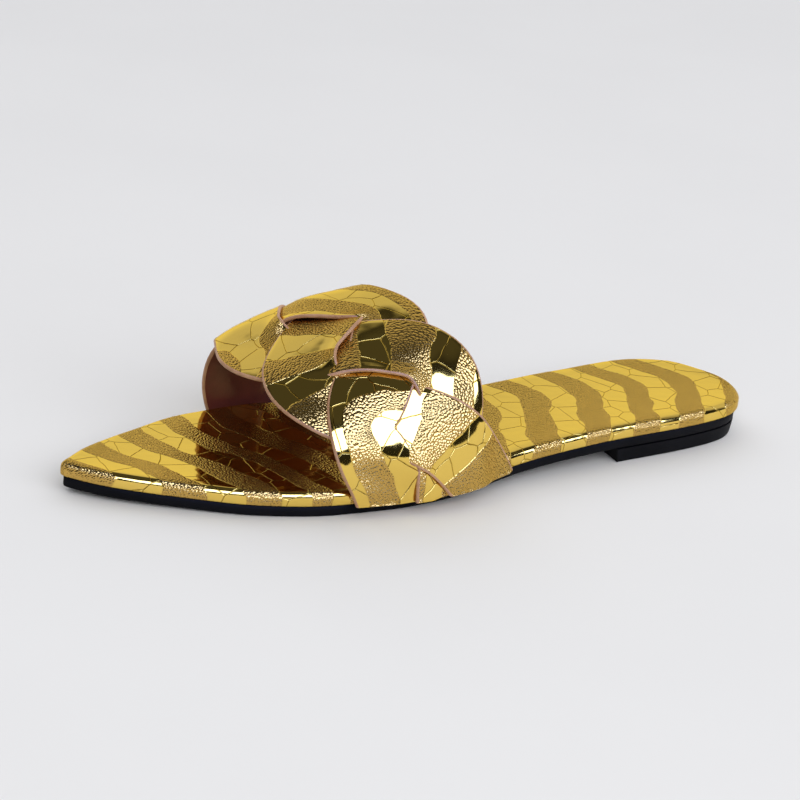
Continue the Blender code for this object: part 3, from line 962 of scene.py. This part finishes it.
def edge_lift(name, run, lane):
    lift = 0.0
    for row in LIFTS:
        if row.strip == name:
            near = max(0.0, 1 - abs(1000 * run - row.run) / row.reach)
            lift += row.lift * MM * eased(near) * max(0.0, lane * row.edge) ** 2
    return lift


# %% The strips stand off the sole's edge
# The strips are tucked under the footbed in a bunch, so near the sole they stand a little off its side.
FOOT_STANDOFF = 1.15 * MM
FOOT_HEIGHT = 26 * MM


def foot_standoff(flat):
    away = min(flat[1], MIDDLE_RUN - flat[1]) / FOOT_HEIGHT
    return FOOT_STANDOFF * eased(np.clip(1 - away, 0, 1))


# %% Round a strip's turns and ramps
# Both are counted in steps of STRIP_STEP along the strip.
PLAN_EVENING = 6
HEIGHT_EVENING = 3


def evened(values, reach):
    """Values along the strip, each shared out over the steps around it, so that leather doesn't kink."""
    shares = 1 - abs(np.arange(-reach, reach + 1)) / (reach + 1)
    padded = np.concatenate([[values[0]] * reach, values, [values[-1]] * reach])
    return sum(share * padded[k : k + len(values)] for k, share in enumerate(shares / shares.sum()))


def rounded(lane_line):
    """The lane with its sharp turns rounded. Evening draws a bend in, so as much is given back."""
    once = evened(lane_line, PLAN_EVENING)
    return 2 * once - evened(once, PLAN_EVENING)


# %% Lay the section's lanes beside the centre line


def lane_lines(places):
    """The strip laid flat: a line of places in metres for each point of its section."""
    columns = len(places)
    lines = np.zeros((len(SECTION), columns, 2))
    for step in range(columns):
        ahead = places[min(step + 1, columns - 1)] - places[max(step - 1, 0)]
        ahead = ahead / np.linalg.norm(ahead)
        aside = np.array([ahead[1], -ahead[0]])
        curve = bend(places, step)
        for k, point in enumerate(SECTION):
            lines[k, step] = places[step] + aside * lane_reach(2 * point.across / STRIP_WIDTH, curve)
    return np.array([trimmed(rounded(line)) for line in lines])


# %% How far a strip stands off the lining


def heights_over(name, lines):
    """How high each point lies over the lining: on what the strip crosses, and where an edge stands up."""
    places, turns, runs = LINES[name]
    heights = np.zeros(lines.shape[:2])
    for row, point in enumerate(SECTION):
        for step, flat in enumerate(lines[row]):
            heights[row, step] = layers_under(flat, turns[step]) * (STRIP_THICKNESS + STRIP_SLACK)
            heights[row, step] += edge_lift(name, runs[step], 2 * point.across / STRIP_WIDTH)
        heights[row] = evened(heights[row], HEIGHT_EVENING)
    return heights


# %% Lay one strip


def lay_strip(name):
    """A grid rolled into the strip's section all along its centre line, laid on the lining and on what the
    strip crosses. Its UV map is the strip laid flat, one unit to 100 mm."""
    places, turns, runs = LINES[name]
    lines = lane_lines(places)
    heights = heights_over(name, lines)
    count = stripe_counter(STRIP_STRIPES[name])
    columns = len(places)
    rows = len(SECTION)
    bpy.ops.mesh.primitive_grid_add(x_subdivisions=columns - 1, y_subdivisions=rows, size=LENGTH)
    strip = bpy.context.object
    strip.name = name + "_strip"
    bands = strip.data.attributes.new("bands", "FLOAT", "POINT").data
    laid_flat = []
    for k, corner in enumerate(strip.data.vertices):
        step = k % columns
        row = (k // columns) % rows
        point = SECTION[row]
        lane = 2 * point.across / STRIP_WIDTH
        flat = lines[row, step]
        along = flat[0] / LENGTH
        over = flat[1] / MIDDLE_RUN
        raised = heights[row, step] + foot_standoff(flat)
        crown = STRIP_CROWN * (1 - lane * lane)
        corner.co = on_lining(along, over) + lining_normal(along, over) * (raised + point.height + crown)
        bands[k].value = count(runs[step], lane)
        laid_flat.append((10 * runs[step], 10 * point.across))
    for loop, spot in zip(strip.data.loops, strip.data.uv_layers.active.data):
        spot.uv = laid_flat[loop.vertex_index]
    for face in strip.data.polygons:
        row = min(corner // columns for corner in face.vertices)
        face.material_index = SECTION[row].finish
    return strip


strips = [lay_strip(name) for name in STRIPS]
print(len(strips), "strips laid")

# %% Close the strips' seams and ends
STRIP_MERGE = 0.01 * MM

for strip in strips:
    for finish in (foil, cut_edge, lining):
        strip.data.materials.append(finish)
    activate(strip)
    bpy.ops.object.mode_set(mode="EDIT")
    bpy.ops.mesh.select_mode(type="VERT")
    bpy.ops.mesh.select_all(action="SELECT")
    bpy.ops.mesh.remove_doubles(threshold=STRIP_MERGE)
    bpy.ops.mesh.select_all(action="DESELECT")
    bpy.ops.mesh.select_non_manifold()
    strip.active_material_index = 1
    bpy.ops.mesh.fill()
    bpy.ops.object.material_slot_assign()
    bpy.ops.mesh.select_all(action="SELECT")
    bpy.ops.mesh.normals_make_consistent(inside=False)
    bpy.ops.mesh.select_all(action="DESELECT")
    bpy.ops.mesh.select_non_manifold()
    bpy.ops.object.mode_set(mode="OBJECT")
    still_open = sum(corner.select for corner in strip.data.vertices)
    bpy.ops.object.shade_smooth_by_angle(angle=SOFT_EDGE)
    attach(strip, "root")
    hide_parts("upper")
    print(strip.name, "has", len(strip.data.polygons), "faces and", still_open, "open corners")

# %% [markdown]
# ## The studio
# Mirror foil shows its surroundings, so the surroundings are the look. The photo's foil mirrors five things:
# a pale floor that ends a little in front of the shoe, a dark room on the camera's side, a large white
# softbox to the right of the camera, a pale backdrop on the far side and a dim ceiling. The world shader
# paints the room by direction, and a floor sheet and an area light do the rest.

# %% The floor sheet
FLOOR_FRONT = 0.42
FLOOR_BACK = 3.2
FLOOR_WIDTH = 5.0
FAR_SIDE = Vector((-0.4334, -0.9012, 0))

bpy.ops.mesh.primitive_grid_add(x_subdivisions=2, y_subdivisions=2, size=1)
floor = bpy.context.object
floor.name = "floor"
floor_side = Vector((FAR_SIDE.y, -FAR_SIDE.x, 0))
middle = Vector(((CAD_BOX[0][0] + CAD_BOX[1][0]) / 2, 0, 0))
for corner in floor.data.vertices:
    depth = -FLOOR_FRONT + (corner.co.y + 0.5) * (FLOOR_FRONT + FLOOR_BACK)
    corner.co = middle + FAR_SIDE * depth + floor_side * (-corner.co.x * FLOOR_WIDTH)
activate(floor)
bpy.ops.object.mode_set(mode="EDIT")
bpy.ops.mesh.select_all(action="SELECT")
bpy.ops.mesh.normals_make_consistent(inside=False)
bpy.ops.object.mode_set(mode="OBJECT")
paper = quiet_material(
    "pale_paper",
    colour=(0.80, 0.80, 0.815, 1),
    second=(0.79, 0.79, 0.805, 1),
    roughness=0.75,
    grain_size=3 * MM,
    relief=0.02 * MM,
    patch_size=150 * MM,
)
paper.node_tree.nodes["Principled BSDF"].inputs["Specular IOR Level"].default_value = 0.0
floor.data.materials.append(paper)

# %% The room, painted by direction
# Heights are sines of the angle above the horizon, and each pair says where a soft border starts and ends.
FAR_SIDE_BORDER = (0.02, 0.30)
BACKDROP_TOP = (0.72, 0.84)
BACKDROP_DIMMING = (0.25, 0.70)
CEILING_BORDER = (0.80, 0.90)
ROOM_TINT = (0.98, 0.985, 1.0, 1)
ROOM_DARK = 0.02
BACKDROP = 0.87
BACKDROP_FALL = 0.30
CEILING = 0.045
SEEN_BACKGROUND = 0.86

world = bpy.data.worlds.new("studio")
world.use_nodes = True
bpy.context.scene.world = world
tree = world.node_tree
direction = add_node(tree, "TexCoord").outputs["Generated"]
height = add_node(tree, "SeparateXYZ", None, Vector=direction).outputs["Z"]
facing = add_node(tree, "VectorMath", {"operation": "DOT_PRODUCT"}, _0=direction, _1=FAR_SIDE)
far_side = soft_step(tree, facing.outputs["Value"], *FAR_SIDE_BORDER)
below_top = math_node(tree, "SUBTRACT", 1.0, soft_step(tree, height, *BACKDROP_TOP))
upwards = soft_step(tree, height, *BACKDROP_DIMMING)
falling_off = math_node(tree, "MULTIPLY_ADD", upwards, -BACKDROP_FALL, 1.0)
backdrop = math_node(tree, "MULTIPLY", math_node(tree, "MULTIPLY", far_side, below_top), falling_off)
ceiling = soft_step(tree, height, *CEILING_BORDER)
glow = math_node(tree, "MULTIPLY_ADD", backdrop, BACKDROP, ROOM_DARK)
room = math_node(tree, "MULTIPLY_ADD", ceiling, CEILING, glow)
seen = add_node(tree, "LightPath").outputs["Is Camera Ray"]
strength = add_node(tree, "Mix", None, _0=seen, _2=room, _3=SEEN_BACKGROUND).outputs[0]
shader = tree.nodes["Background"]
tree.links.new(strength, shader.inputs["Strength"])
shader.inputs["Color"].default_value = ROOM_TINT

# %% The softbox
# It is two lights in one place: a bright one that only the foil mirrors, and a weaker one that lights the
# matt surfaces, so that its white reflection doesn't cost the paper its even tone. The photo's highlights
# are burnt out to silver white, so the mirrored one is cool: gold takes the blue away again.
SHOE_MIDDLE = Vector((0.11, 0.0, 0.03))
SOFTBOX_AWAY = 3.0
SOFTBOX_PLACE = SHOE_MIDDLE + SOFTBOX_AWAY * Vector((-0.0335, 0.8185, 0.5735))
SOFTBOX_SIZE = (5.4, 2.0)
MIRRORED_POWER = 155
MIRRORED_COLOUR = (0.74, 0.93, 2.0)
SPILL_POWER = 112
SPILL_COLOUR = (1.0, 1.0, 1.0)


def softbox(name, power, colour):
    """An area light of the softbox's size, at its place and turned to the shoe."""
    lamp_data = bpy.data.lights.new(name, "AREA")
    lamp_data.shape = "RECTANGLE"
    lamp_data.size = SOFTBOX_SIZE[0]
    lamp_data.size_y = SOFTBOX_SIZE[1]
    lamp_data.energy = power
    lamp_data.color = colour
    lamp = bpy.data.objects.new(name, lamp_data)
    bpy.context.scene.collection.objects.link(lamp)
    lamp.location = SOFTBOX_PLACE
    lamp.rotation_mode = "QUATERNION"
    lamp.rotation_quaternion = (SHOE_MIDDLE - SOFTBOX_PLACE).to_track_quat("-Z", "Y")
    return lamp


mirrored = softbox("softbox_mirrored", MIRRORED_POWER, MIRRORED_COLOUR)
mirrored.visible_diffuse = False
spill = softbox("softbox_spill", SPILL_POWER, SPILL_COLOUR)
spill.visible_glossy = False

# %% An even fill from above
# It lights the paper evenly and softens the shadows. It is kept out of the mirror foil's reflections.
FILL_STRENGTH = 1.37
FILL_SPREAD = 100
FILL_DOWN = Vector((0.15, 0.3, -1))

fill_data = bpy.data.lights.new("fill", "SUN")
fill_data.energy = FILL_STRENGTH
fill_data.angle = np.radians(FILL_SPREAD)
fill = bpy.data.objects.new("fill", fill_data)
bpy.context.scene.collection.objects.link(fill)
fill.rotation_mode = "QUATERNION"
fill.rotation_quaternion = FILL_DOWN.to_track_quat("-Z", "Y")
fill.visible_glossy = False
